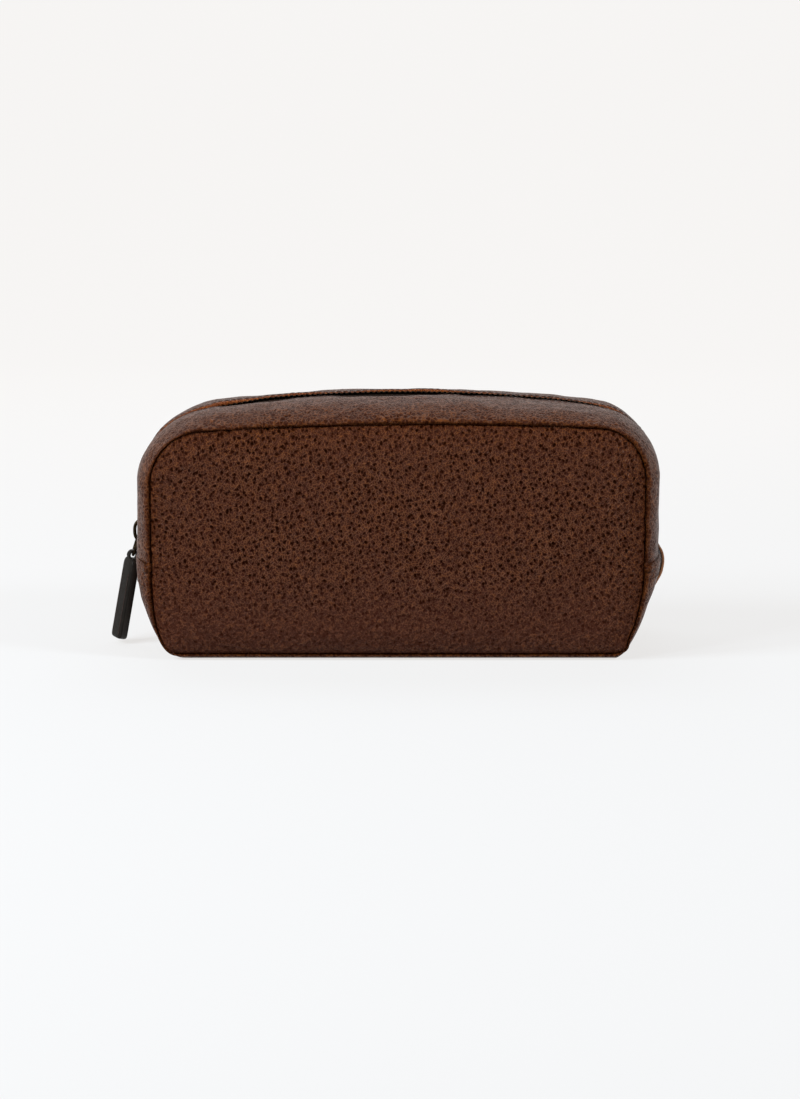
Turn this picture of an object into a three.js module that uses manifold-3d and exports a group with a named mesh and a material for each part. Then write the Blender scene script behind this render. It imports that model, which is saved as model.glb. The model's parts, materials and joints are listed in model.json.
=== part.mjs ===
// A leather shaving kit bag, zipped shut and standing on its base.
//
// Frame: millimetres, +Z up, +X to the bag's right, -Y towards its front. The origin is the centre of the
// base's underside. Two rounded panels, front and back, are joined by a gusset: a base strip that runs under
// the bag and up to a hem on each side, and two zip strips that run from hem to hem over the top.
import * as THREE from "three";
import { mergeVertices } from "three/addons/utils/BufferGeometryUtils.js";
import Module from "manifold-3d";

const wasm = await Module();
wasm.setup();

// ---------------------------------------------------------------- driving dimensions

// Outline of the bag seen from the front, once where the panels are sewn on and once halfway through its depth.
const SEAM = { half: 114.8, topHalf: 94.8, footHalf: 97, floor: 1.8, shoulder: 88, top: 108.5 };
const MIDDLE = { half: 123.8, topHalf: 93, footHalf: 104, floor: 0, shoulder: 89, top: 121 };
const HEM = 45.4; // height of the base strip's top edge
const HALF_DEPTH = 46; // from the zip to the line where a panel is sewn on
const FLAT_HALF_DEPTH = 38; // half the depth of the flat underside
const CROWN = 5; // how far a panel swells past its seam
const JOIN = 0.3; // gap left between two touching pieces

const LEATHER = 1.6;
const PADDING = 2;
const LINING = 0.5;
const TAPE = 0.6;
const TAPE_DEPTH = LEATHER + 2 * JOIN; // from the leather's outside to the tape's outside
const CHAIN_DEPTH = TAPE_DEPTH + TAPE / 2; // from the leather's outside to the middle of the teeth
const LINING_DEPTH = TAPE_DEPTH + TAPE + JOIN;

const ZIP_GAP = 5.6; // from the zip's middle to the leather's edge
const TAPE_INNER = 3.1;
const TAPE_OUTER = 18;
const TAPE_END = 42.5; // height of the tape's ends, under the hems
const TOOTH_PITCH = 2.54;
const TOOTH_ROOT = 1.5;
const TOOTH_TIP = 1.1;
const CHAIN_EDGE = 2.8;
const CHAIN_THICKNESS = 2.4;

const SLIDER_HEIGHT = 54.5; // the slider's middle, at the closed end of the zip
const SLIDER_HALF_LENGTH = 7;
const PLATE_INSIDE = 1.5; // from the chain's middle to a plate of the slider
const PLATE = 0.8;
const BRIDGE_TOP = 6.9;
const BRIDGE_HALF_WIDTH = 1;
const WINDOW_TOP = 5.4;
const RING_RADIUS = 4.3;
const RING_WIRE = 0.7;
const RING_REACH = 9.5; // from the ring's bearing on the bridge to its bearing in the tab
const RING_SEAT = { along: -2.8, out: 4.3 }; // where the ring bears, from the slider's middle
const RING_TILT = 7.5; // turns the ring's facets so that one lies on its bearing
const RING_LEAN = 17;
const RING_TURN = 9;
const TAB_LEAN = 8;
const TAB_TURN = 27;
const TAB = { width: 11.5, thickness: 4, end: 41, shoulder: 3.4, corner: 3.2 };
const TAB_NECK = { width: 3.4, radius: 2.75, hole: 1.65 };

const LOOP = { width: 18, thickness: 1.3, top: 47.5, bottom: 26.5, standOff: 1.6 };

// ---------------------------------------------------------------- colours and finishes

const finish = (color, roughness, metalness = 0) =>
  new THREE.MeshStandardMaterial({ color, roughness, metalness });
const MATERIAL = {
  leather: finish(0x4a2a1c, 0.55),
  blackLeather: finish(0x14120f, 0.5),
  padding: finish(0xcfc8bb, 0.95),
  lining: finish(0x3a3a36, 0.9),
  tape: finish(0x241a14, 0.9),
  teeth: finish(0x2b2722, 0.4, 0.9),
  brass: finish(0x5b4c30, 0.4, 0.9),
};

// ---------------------------------------------------------------- shapes

const rad = THREE.MathUtils.degToRad;

// The outline over the top, from a height on the left side to the same height on the right.
function upperOutline(o, start) {
  const corner = [o.half - o.topHalf, o.top - o.shoulder];
  return new THREE.Path()
    .moveTo(-o.half, start)
    .lineTo(-o.half, o.shoulder)
    .absellipse(-o.topHalf, o.shoulder, ...corner, Math.PI, Math.PI / 2, true)
    .lineTo(o.topHalf, o.top)
    .absellipse(o.topHalf, o.shoulder, ...corner, Math.PI / 2, 0, true)
    .lineTo(o.half, start);
}

// The outline under the bag, from the right hem to the left one.
function lowerOutline(o) {
  const corner = [o.half - o.footHalf, HEM - o.floor];
  return new THREE.Path()
    .absellipse(o.footHalf, HEM, ...corner, 0, -Math.PI / 2, true)
    .lineTo(-o.footHalf, o.floor)
    .absellipse(-o.footHalf, HEM, ...corner, -Math.PI / 2, -Math.PI, true);
}

// Points along a path, with a chosen number of steps for each of its curves. Rounding can leave a curve of no
// length between two others, and it is passed over.
function stations(path, steps) {
  const curves = path.curves.filter((curve) => curve.getLength() > 1e-6);
  const points = [curves[0].getPoint(0)];
  curves.forEach((curve, k) => {
    for (let i = 1; i <= steps[k]; i++) points.push(curve.getPoint(i / steps[k]));
  });
  return points;
}

// Distances from the zip at which the gusset's surface is worked out.
const COLUMNS = [HALF_DEPTH, 44.6, 41, FLAT_HALF_DEPTH, 33, 19, ZIP_GAP];

// How far the gusset has swelled from the seam (0) to the bag's middle (1), at a distance y from the zip.
const swell = (y) => Math.sqrt(1 - Math.pow(Math.min(1, Math.abs(y) / HALF_DEPTH), 2.3));

// The same for the base, which is flat underneath and matches the zip strips at its hems.
function baseSwell(y, height) {
  const past = Math.max(0, Math.abs(y) - FLAT_HALF_DEPTH) / (HALF_DEPTH - FLAT_HALF_DEPTH);
  const flat = Math.sqrt(1 - Math.min(1, past * past));
  return THREE.MathUtils.lerp(flat, swell(y), THREE.MathUtils.smoothstep(height, 4, HEM));
}

// A patch is a grid of points on the outside of the bag: a row for each station, a point for each y.
const gussetPatch = (seam, middle, ys, swellAt) =>
  seam.map((s, i) =>
    ys.map((y) => {
      const at = s.clone().lerp(middle[i], swellAt(y, middle[i].y));
      return new THREE.Vector3(at.x, y, at.y);
    }),
  );

const zipPatch = (ys, start = HEM + JOIN, steps = [3, 6, 6, 6, 3]) =>
  gussetPatch(
    stations(upperOutline(SEAM, start), steps),
    stations(upperOutline(MIDDLE, start), steps),
    ys,
    swell,
  );

const basePatch = (ys, steps = [7, 4, 7]) =>
  gussetPatch(
    stations(lowerOutline(SEAM), steps),
    stations(lowerOutline(MIDDLE), steps),
    ys,
    baseSwell,
  );

// The outside of the front panel (side -1) or the back one (side 1), drawn in from its seam by an inset.
function panelPatch(side, inset, columns) {
  const up = stations(upperOutline(SEAM, HEM), [0, 0, 0, 6, 3]).slice(1).reverse();
  const down = stations(lowerOutline(SEAM), [5, 0, 0]).slice(1).reverse();
  const middle = (SEAM.floor + SEAM.top) / 2;
  const halfHeight = (SEAM.top - SEAM.floor) / 2;
  return [...down, ...up].map((p) => {
    const half = p.x * (1 - inset / SEAM.half);
    const rise = (p.y - middle) * (1 - inset / halfHeight);
    return Array.from({ length: columns + 1 }, (_, j) => {
      const across = (2 * j) / columns - 1;
      const swelling =
        CROWN * (1 - Math.abs(across) ** 2.4) * (1 - Math.abs((p.y - middle) / halfHeight) ** 2.4);
      const y = side * (HALF_DEPTH + JOIN + LEATHER + swelling);
      return new THREE.Vector3(side * half * across, y, middle + rise);
    });
  });
}

// The outward direction at a point of a patch, from its neighbours.
function outward(patch, i, j) {
  const last = patch.length - 1;
  const end = patch[0].length - 1;
  const along = patch[Math.min(i + 1, last)][j].clone().sub(patch[Math.max(i - 1, 0)][j]);
  const across = patch[i][Math.min(j + 1, end)].clone().sub(patch[i][Math.max(j - 1, 0)]);
  return along.cross(across).normalize();
}

// A sheet of even thickness that lies a given depth under a patch: a box with its vertices carried there.
// The depth is measured along one direction if it is given, or square to the patch.
function sheet(patch, depth, thickness, direction = null) {
  const rows = patch.length - 1;
  const columns = patch[0].length - 1;
  const box = new THREE.BoxGeometry(1, 1, 1, rows, columns, 1);
  const at = box.attributes.position;
  for (let k = 0; k < at.count; k++) {
    const i = Math.round((at.getX(k) + 0.5) * rows);
    const j = Math.round((at.getY(k) + 0.5) * columns);
    const inwards = at.getZ(k) > 0 ? depth : depth + thickness;
    const p = patch[i][j].clone().addScaledVector(direction ?? outward(patch, i, j), -inwards);
    at.setXYZ(k, p.x, p.y, p.z);
  }
  return box;
}

// ---------------------------------------------------------------- joining and cutting

function toSolid(geometry) {
  const bare = geometry.clone();
  bare.deleteAttribute("normal");
  bare.deleteAttribute("uv");
  const merged = mergeVertices(bare, 1e-4);
  return new wasm.Manifold(
    new wasm.Mesh({
      numProp: 3,
      vertProperties: new Float32Array(merged.attributes.position.array),
      triVerts: new Uint32Array(merged.index.array),
    }),
  );
}

function toGeometry(solid) {
  const mesh = solid.getMesh();
  return new THREE.BufferGeometry()
    .setAttribute("position", new THREE.BufferAttribute(mesh.vertProperties, 3))
    .setIndex(new THREE.BufferAttribute(mesh.triVerts, 1));
}

const joined = (...geometries) =>
  toGeometry(geometries.map(toSolid).reduce((a, b) => a.add(b)));

const cut = (geometry, tool) => toGeometry(toSolid(geometry).subtract(toSolid(tool)));

// A box given by its middle and its size.
const block = (x, y, z, width, depth, height) =>
  new THREE.BoxGeometry(width, depth, height).translate(x, y, z);

// A flat outline in X and Y given a thickness from one height to another.
function slab(shape, from, to) {
  const options = { depth: to - from, bevelEnabled: false, curveSegments: 5 };
  return new THREE.ExtrudeGeometry(shape, options).translate(0, 0, from);
}

// ---------------------------------------------------------------- pieces

const bag = new THREE.Group();

function place(name, geometry, material, parent = bag) {
  const mesh = new THREE.Mesh(geometry, material);
  mesh.name = name;
  parent.add(mesh);
  return mesh;
}

// Panels, each with its padding and its lining behind it.
function addPanels() {
  for (const [side, end] of [[-1, "front"], [1, "back"]]) {
    const facing = new THREE.Vector3(0, side, 0);
    const inner = panelPatch(side, 4.4, 8);
    const depth = LEATHER + PADDING + 3 * JOIN;
    place(`${end}_panel`, sheet(panelPatch(side, 0, 8), 0, LEATHER, facing), MATERIAL.leather);
    place(`${end}_padding`, sheet(inner, LEATHER + JOIN, PADDING, facing), MATERIAL.padding);
    place(`${end}_lining`, sheet(inner, depth, LINING, facing), MATERIAL.lining);
  }
}

// The two leather strips beside the zip, and the lining under each.
function addZipStrips() {
  const lining = [41, FLAT_HALF_DEPTH, 33, 19, ZIP_GAP + 1];
  for (const [side, end] of [[-1, "front"], [1, "back"]]) {
    const ys = (list) => list.map((y) => side * y).sort((a, b) => a - b);
    place(`zip_strip_${end}`, sheet(zipPatch(ys(COLUMNS)), 0, LEATHER), MATERIAL.leather);
    place(`zip_lining_${end}`, sheet(zipPatch(ys(lining)), LINING_DEPTH, LINING), MATERIAL.lining);
  }
}

// The strip that makes the base and the lower sides, and its lining.
function addBase() {
  const leather = [...COLUMNS.map((y) => -y), ...COLUMNS.toReversed()];
  const lining = [-FLAT_HALF_DEPTH, 0, FLAT_HALF_DEPTH];
  place("base_strip", sheet(basePatch(leather), 0, LEATHER), MATERIAL.leather);
  place("base_lining", sheet(basePatch(lining), LINING_DEPTH, LINING), MATERIAL.lining);
}

// A line on the zip's middle plane, at the depth of the teeth, by its distance from the left hem.
const zipLine = upperOutline(MIDDLE, HEM);

function onZipLine(distance) {
  const share = distance / zipLine.getLength();
  const at = zipLine.getPointAt(share);
  const along = zipLine.getTangentAt(share);
  const inwards = new THREE.Vector2(along.y, -along.x).multiplyScalar(CHAIN_DEPTH - CHAIN_THICKNESS / 2);
  return at.add(inwards);
}

// Tapes, and the two rows of teeth in mesh from above the slider to the stop at the other end.
function addZip() {
  const first = SLIDER_HEIGHT - HEM - 2.2;
  const last = zipLine.getLength() - 5.2;
  const teeth = Math.floor((last - first) / TOOTH_PITCH);
  for (const [side, end] of [[-1, "front"], [1, "back"]]) {
    const tape = [side * TAPE_OUTER, side * TAPE_INNER].sort((a, b) => a - b);
    place(`zip_tape_${end}`, sheet(zipPatch(tape, TAPE_END), TAPE_DEPTH, TAPE), MATERIAL.tape);
    const comb = [];
    for (let i = 0; i <= 2 * teeth; i++) {
      const at = onZipLine(first + (i * TOOTH_PITCH) / 2);
      const tooth = (i + (side > 0 ? 1 : 0)) % 2 === 1;
      const edge = side * (tooth ? -TOOTH_TIP : TOOTH_ROOT);
      const ys = [side * CHAIN_EDGE, edge].sort((a, b) => a - b);
      comb.push(ys.map((y) => new THREE.Vector3(at.x, y, at.y)));
    }
    place(`zip_teeth_${end}`, sheet(comb, 0, CHAIN_THICKNESS), MATERIAL.teeth);
  }
}

// Two stops beside the slider's wedge, and the one that holds both tapes at the zip's other end.
function addStops() {
  const x = MIDDLE.half - CHAIN_DEPTH;
  const z = SLIDER_HEIGHT - 4.85;
  for (const [side, end] of [[-1, "front"], [1, "back"]])
    place(`top_stop_${end}`, block(-x, side * 2.2, z, CHAIN_THICKNESS, 1.4, 3.3), MATERIAL.brass);
  place("bottom_stop", block(x, 0, 48.3, CHAIN_THICKNESS, 2 * CHAIN_EDGE, 3.4), MATERIAL.brass);
}

// The slider lies along local X, with its bridge up local Z: two plates with flanges, a wedge and the bridge.
function sliderGeometry() {
  const outside = PLATE_INSIDE + PLATE;
  const plan = new THREE.Shape()
    .moveTo(SLIDER_HALF_LENGTH, 3.6)
    .lineTo(SLIDER_HALF_LENGTH, -3.6)
    .quadraticCurveTo(2, -4.6, -2, -5.1)
    .quadraticCurveTo(-6, -5.4, -SLIDER_HALF_LENGTH, -3.4)
    .lineTo(-SLIDER_HALF_LENGTH, 3.4)
    .quadraticCurveTo(-6, 5.4, -2, 5.1)
    .quadraticCurveTo(2, 4.6, SLIDER_HALF_LENGTH, 3.6);
  const wedge = new THREE.Shape()
    .moveTo(-2.6, 0)
    .lineTo(-4.4, 1.1)
    .lineTo(-6.6, 0.6)
    .lineTo(-6.6, -0.6)
    .lineTo(-4.4, -1.1);
  const arch = new THREE.Shape()
    .moveTo(6, PLATE_INSIDE + PLATE / 2)
    .quadraticCurveTo(6, BRIDGE_TOP, 3.4, BRIDGE_TOP)
    .lineTo(-3.4, BRIDGE_TOP)
    .quadraticCurveTo(-6, BRIDGE_TOP, -6, PLATE_INSIDE + PLATE / 2)
    .lineTo(-4.4, PLATE_INSIDE + PLATE / 2)
    .quadraticCurveTo(-4.4, WINDOW_TOP, -2.6, WINDOW_TOP)
    .lineTo(2.6, WINDOW_TOP)
    .quadraticCurveTo(4.4, WINDOW_TOP, 4.4, PLATE_INSIDE + PLATE / 2);
  const bridge = slab(arch, -BRIDGE_HALF_WIDTH, BRIDGE_HALF_WIDTH).rotateX(Math.PI / 2);
  const flanges = [];
  for (const y of [-3.9, 3.9])
    for (const z of [-1.2, 1.2]) flanges.push(block(0.2, y, z, 12, 0.8, 0.9));
  return joined(
    slab(plan, PLATE_INSIDE, outside),
    slab(plan, -outside, -PLATE_INSIDE),
    slab(wedge, -PLATE_INSIDE - PLATE / 2, PLATE_INSIDE + PLATE / 2),
    bridge,
    ...flanges,
  );
}

// A round ring pulled a little longer, with its bearing on the bridge at the origin, hanging down local Z.
function ringGeometry() {
  const round = new THREE.TorusGeometry(RING_RADIUS, RING_WIRE, 8, 24);
  const ring = round.rotateY(Math.PI / 2).rotateX(rad(RING_TILT));
  const stretch = RING_REACH / 2 - RING_RADIUS;
  const at = ring.attributes.position;
  for (let k = 0; k < at.count; k++) {
    at.setZ(k, at.getZ(k) + Math.sign(at.getZ(k)) * stretch - RING_REACH / 2);
  }
  return ring;
}

// The folded leather pull: a neck with the ring's hole at the origin, and a flat tongue below it.
function tabGeometry() {
  const half = TAB.width / 2;
  const tongue = new THREE.Shape()
    .moveTo(-half, -TAB.shoulder - TAB.corner)
    .lineTo(-half, -TAB.end + TAB.corner)
    .quadraticCurveTo(-half, -TAB.end, -half + TAB.corner, -TAB.end)
    .lineTo(half - TAB.corner, -TAB.end)
    .quadraticCurveTo(half, -TAB.end, half, -TAB.end + TAB.corner)
    .lineTo(half, -TAB.shoulder - TAB.corner)
    .quadraticCurveTo(half, -TAB.shoulder, half - TAB.corner, -TAB.shoulder)
    .lineTo(-half + TAB.corner, -TAB.shoulder)
    .quadraticCurveTo(-half, -TAB.shoulder, -half, -TAB.shoulder - TAB.corner);
  const flat = slab(tongue, -TAB.thickness / 2, TAB.thickness / 2)
    .rotateX(Math.PI / 2)
    .rotateZ(Math.PI / 2);
  const bulb = new THREE.CylinderGeometry(TAB_NECK.radius, TAB_NECK.radius, TAB_NECK.width, 20);
  const web = block(0, 0, -TAB.shoulder / 2 - 0.6, TAB.thickness, TAB_NECK.width, TAB.shoulder);
  const hole = new THREE.CylinderGeometry(TAB_NECK.hole, TAB_NECK.hole, TAB.width, 20);
  return cut(joined(flat, bulb, web), hole);
}

// The slider on the left side of the bag, with its ring and its pull hanging from it.
function addSlider() {
  const slider = place("slider_body", sliderGeometry(), MATERIAL.brass);
  slider.rotation.y = -Math.PI / 2;
  slider.position.set(CHAIN_DEPTH - MIDDLE.half, 0, SLIDER_HEIGHT);

  const ring = place("pull_ring", ringGeometry(), MATERIAL.brass);
  ring.rotation.set(0, rad(RING_LEAN), rad(RING_TURN), "ZYX");
  ring.position.set(slider.position.x - RING_SEAT.out, 0, SLIDER_HEIGHT + RING_SEAT.along);
  ring.updateMatrixWorld(true);

  const tab = place("pull_tab", tabGeometry(), MATERIAL.blackLeather);
  tab.rotation.set(0, rad(TAB_LEAN), rad(TAB_TURN), "ZYX");
  tab.position.copy(ring.localToWorld(new THREE.Vector3(0, 0, -RING_REACH)));
}

// A strap sewn over the zip's end on the right: it stands off at its top and lies on the base strip below.
function addEndLoop() {
  const foot = MIDDLE.half - MIDDLE.footHalf;
  const rows = 8;
  const patch = Array.from({ length: rows + 1 }, (_, i) => {
    const z = THREE.MathUtils.lerp(LOOP.top, LOOP.bottom, i / rows);
    const drop = Math.max(0, HEM - z) / HEM;
    const side = MIDDLE.footHalf + foot * Math.sqrt(1 - drop * drop);
    const x = side + JOIN + LOOP.thickness + LOOP.standOff * Math.sin((Math.PI * i) / rows) ** 0.7;
    return [-LOOP.width / 2, LOOP.width / 2].map((y) => new THREE.Vector3(x, y, z));
  });
  place("end_loop", sheet(patch, 0, LOOP.thickness), MATERIAL.leather);
}

addPanels();
addZipStrips();
addBase();
addZip();
addStops();
addSlider();
addEndLoop();

export default bag;
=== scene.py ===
"""A brown leather shaving kit bag with a zipped top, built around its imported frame."""

import json
from math import acos, copysign, cos, exp, pi, radians, sin, sqrt

import bmesh
import bpy
from bpy.props import FloatProperty, FloatVectorProperty, PointerProperty
from bpy.types import Operator, Panel, PropertyGroup
from mathutils import Matrix, Vector, noise
from mathutils.kdtree import KDTree


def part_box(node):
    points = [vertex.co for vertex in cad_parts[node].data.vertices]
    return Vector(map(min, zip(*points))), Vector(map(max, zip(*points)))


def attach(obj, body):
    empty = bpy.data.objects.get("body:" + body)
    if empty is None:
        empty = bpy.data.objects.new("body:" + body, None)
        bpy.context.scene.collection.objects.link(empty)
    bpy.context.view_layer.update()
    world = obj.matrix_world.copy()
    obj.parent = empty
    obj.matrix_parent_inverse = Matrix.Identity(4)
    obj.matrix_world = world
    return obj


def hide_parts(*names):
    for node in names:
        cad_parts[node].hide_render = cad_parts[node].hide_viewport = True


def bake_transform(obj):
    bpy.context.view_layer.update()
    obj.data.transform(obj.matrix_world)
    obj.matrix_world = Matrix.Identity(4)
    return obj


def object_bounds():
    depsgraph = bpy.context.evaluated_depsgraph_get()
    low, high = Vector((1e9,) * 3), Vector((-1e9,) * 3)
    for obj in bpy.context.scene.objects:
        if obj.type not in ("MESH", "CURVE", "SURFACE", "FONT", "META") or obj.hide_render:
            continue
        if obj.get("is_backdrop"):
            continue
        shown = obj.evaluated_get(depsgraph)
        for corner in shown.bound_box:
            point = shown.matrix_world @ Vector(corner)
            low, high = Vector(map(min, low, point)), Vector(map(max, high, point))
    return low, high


bl_info = {
    "name": "Shaving kit bag",
    "version": (1, 0, 0),
    "blender": (4, 5, 0),
    "location": "View3D > Sidebar > Shaving kit",
    "description": "Builds a zipped leather shaving kit bag piece by piece",
    "category": "Add Mesh",
}

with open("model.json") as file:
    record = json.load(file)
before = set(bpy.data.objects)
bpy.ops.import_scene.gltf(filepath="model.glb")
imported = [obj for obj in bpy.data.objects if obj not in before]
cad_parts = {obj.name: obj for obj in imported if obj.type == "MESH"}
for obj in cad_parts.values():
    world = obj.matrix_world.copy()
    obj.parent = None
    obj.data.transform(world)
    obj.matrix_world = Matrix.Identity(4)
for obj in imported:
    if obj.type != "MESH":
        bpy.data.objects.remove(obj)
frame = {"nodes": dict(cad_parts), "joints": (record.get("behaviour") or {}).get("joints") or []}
cad_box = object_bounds()

MM = 0.001


# -------- sizes and colours a user would change


def linear(code):
    """An sRGB hex colour as linear red, green and blue."""
    channels = [(code >> shift & 255) / 255 for shift in (16, 8, 0)]
    return [c / 12.92 if c <= 0.04045 else ((c + 0.055) / 1.055) ** 2.4 for c in channels]


def length(name, description, default):
    return FloatProperty(name=name, description=description, default=default * MM, unit="LENGTH", min=0)


def colour(name, description, code):
    return FloatVectorProperty(
        name=name, description=description, default=linear(code), subtype="COLOR", min=0, max=1
    )


class BagSizes(PropertyGroup):
    """The bag's sizes, over what the frame already fixes."""

    leather: length("Leather", "Thickness of the leather", 1.1)
    crown: length("Panel crown", "How far the front and back panels swell past their rims", 3.6)
    rim: length("Seam rim", "Radius of the turned edge of a panel", 2.2)
    tooth_pitch: length("Tooth pitch", "Distance from one tooth of a row to the next", 2.54)
    stitch: length("Stitch", "Length of one stitch and the gap after it", 3.2)
    grain: length("Grain", "Distance from one pore of the panels' grain to the next", 3.3)


class BagColours(PropertyGroup):
    """The bag's colours."""

    # The pore colour is darker because the pit's shade is painted into it.
    pore: colour("Pore", "Leather in the bottom of a pore", 0x150601)
    leather: colour("Leather", "Leather between pores", 0x361505)
    # The ridge colour is partly the finish rubbed thin and partly a painted highlight on the raised ridges.
    ridge: colour("Ridge", "Leather where the finish has rubbed thin", 0x693A16)
    edge: colour("Raw edge", "Cut edge of the brown leather", 0x8A5A34)
    pull: colour("Pull", "Black leather of the pull", 0x080706)
    metal: colour("Metal", "Aged brass of the slider and its ring", 0x30271A)
    teeth: colour("Teeth", "Dark plating on the zip's teeth", 0x16130F)
    tape: colour("Tape", "Woven tape of the zip", 0x20140D)
    lining: colour("Lining", "Cotton lining", 0x4A4436)
    thread: colour("Thread", "Stitching", 0x2E170E)


def sizes():
    return bpy.context.scene.bag_sizes


def colours():
    return bpy.context.scene.bag_colours


# -------- the bag's surface, in millimetres

SIDES = ((-1, "front", "front_half"), (1, "back", "bag"))  # direction along Y, name and body of each half
HEM = 45.4  # height of the base strip's top edge
HALF_DEPTH = 46.0  # from the zip to the line where a panel is sewn on
FLAT = 38.0  # half the depth of the flat underside
HALF_HEIGHT = 53.4  # about half the height of a panel
ZIP_EDGE = 6.9  # where the leather beside the zip starts to fold under
FOLD = 1.3  # radius of that fold
CLOTH = 0.4 * MM  # thickness of the lining and of the zip's tape
ROLL = 2.7  # how far the gusset's leather rolls out past a panel's seam
PUFF = 0.7  # how far the gusset puffs up beside the zip
HEM_LIFT = 0.9  # how far the base strip's folded hem stands off the zip strips
HEM_FOLD = 0.8  # radius of the hem's fold
CHAIN_DEPTH = 2.5  # depth of the zip's chain under the gusset's middle, along the sides of the bag

# An outline has a half width, a height over its corners, a floor and a bow of (rise, middle, half length)
# along its top. A corner or foot is (width, height, power) of its quarter of a superellipse. The leather has
# settled more on the left (-1) than on the right (1), and the seam pushes a knuckle out of the right foot.
SEAM = {"half": 115.2, "top": 107.4, "floor": 3.1, "bow": (3.4, 16, 106), "knuckle": 1.9,
        "corner": {-1: (25.0, 25.0, 2.05), 1: (21.0, 22.0, 2.0)},
        "foot": {-1: (12.0, 42.3, 2.5), 1: (14.0, 42.3, 1.8)}}
MIDDLE = {"half": 123.8, "top": 115.4, "floor": 0.0, "bow": (6.0, 3, 95), "knuckle": 0.0,
          "corner": {-1: (38.5, 35.0, 1.9), 1: (30.0, 32.5, 2.0)},
          "foot": {-1: (24.0, 45.4, 1.75), 1: (21.0, 45.4, 1.4)}}
UPPER_STEPS = (22, 34, 110, 30, 22)
LOWER_STEPS = (34, 120, 34)


def quarter(a, b, power, share):
    """A point of a quarter superellipse, from (a, 0) at share 0 to (0, b) at share 1."""
    angle = share * pi / 2
    return a * cos(angle) ** (2 / power), b * sin(angle) ** (2 / power)


def bowed(outline, x, z):
    """The height z of the outline's top with its bow added."""
    rise, middle, half = outline["bow"]
    share_up = smoothstep(outline["top"] - 32, outline["top"], z)
    return z + rise * share_up * max(0.0, 1 - ((x - middle) / half) ** 2)


def upper(outline, bow=True):
    """The outline over the top, from the left hem to the right one, as (x, z) points."""
    points = []
    for side, order in ((-1, 1), (1, -1)):
        a, b, power = outline["corner"][side]
        steps = UPPER_STEPS if side < 0 else UPPER_STEPS[::-1]
        shoulder = outline["top"] - b
        run = [(side * outline["half"], HEM + (shoulder - HEM) * i / steps[0]) for i in range(steps[0])]
        for i in range(steps[1] + 1):
            dx, dz = quarter(a, b, power, i / steps[1])
            run.append((side * (outline["half"] - a + dx), shoulder + dz))
        points.append(run[::order])
    left, right = points
    start, end, count = left[-1][0], right[0][0], UPPER_STEPS[2]
    across = [(start + (end - start) * i / count, outline["top"]) for i in range(1, count)]
    return [(x, bowed(outline, x, z) if bow else z) for x, z in left + across + right]


def lower(outline):
    """The outline under the bag, from the left hem to the right one."""
    runs = {}
    for side in (-1, 1):
        a, b, power = outline["foot"][side]
        run = []
        for i in range(LOWER_STEPS[0] + 1):
            dx, dz = quarter(a, b, power, i / LOWER_STEPS[0])
            dx += outline["knuckle"] * max(0, side) * exp(-(((HEM - dz - 5.6) / 2.6) ** 2))
            run.append((side * (outline["half"] - a + dx), HEM - dz))
        runs[side] = run
    count, start, end = LOWER_STEPS[1], runs[-1][-1][0], runs[1][-1][0]
    across = [(start + (end - start) * i / count, outline["floor"]) for i in range(1, count)]
    return runs[-1] + across + runs[1][::-1]


def normals(points):
    """Outward normals of an outline that runs from left to right over the top, or under the bag."""
    found = []
    for i in range(len(points)):
        a, b = points[max(i - 1, 0)], points[min(i + 1, len(points) - 1)]
        along = Vector((b[0] - a[0], b[1] - a[1])).normalized()
        found.append(Vector((-along.y, 0, along.x)))
    return found


def roll(share_up, z):
    """How far the gusset's edge rolls out past its seam, by its share of the way to the middle outline."""
    peak = 0.45 - 0.25 * smoothstep(3, 30, z)
    return ROLL * (share_up / peak) * exp(1 - share_up / peak)


def swell(y, height=0.0):
    """How far the gusset stands out from the seams' outline (0) to the middle one (1), at any height."""
    return max(0.0, 1 - min(1.0, abs(y) / HALF_DEPTH) ** 2.3) ** 0.4


def smoothstep(low, high, value):
    t = min(1.0, max(0.0, (value - low) / (high - low)))
    return t * t * (3 - 2 * t)


def base_swell(y, height):
    """The same for the base, which is flat underneath."""
    past = max(0.0, abs(y) - FLAT) / (HALF_DEPTH - FLAT)
    flat = sqrt(max(0.0, 1 - past * past))
    share = smoothstep(4, HEM, height)
    return flat + (swell(y) - flat) * share


def valley(y, z):
    """The gusset's sides and top puff up on both sides of the zip, and lie low along it."""
    puff = smoothstep(6, 22, abs(y)) * (1 - smoothstep(34, 46, abs(y)))
    return puff * PUFF * smoothstep(10, 40, z)


def wrinkles(x, y, z, amount, size, seed):
    return amount * noise.noise(Vector((x, y * 1.4, z)) / size + Vector((seed, seed * 0.7, -seed)))


def puckers(x, y, z, seed):
    """Small gathers that the sewing draws in near a panel's seam."""
    near = smoothstep(24, 45, abs(y)) * (0.35 + 0.65 * smoothstep(60, 112, z + abs(x) * 0.4))
    along = noise.noise(Vector((x * 0.16, z * 0.16, seed)))
    fine = noise.noise(Vector((x * 0.42, z * 0.42, seed + 9)))
    return near * (0.55 * along + 0.28 * fine)


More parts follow.
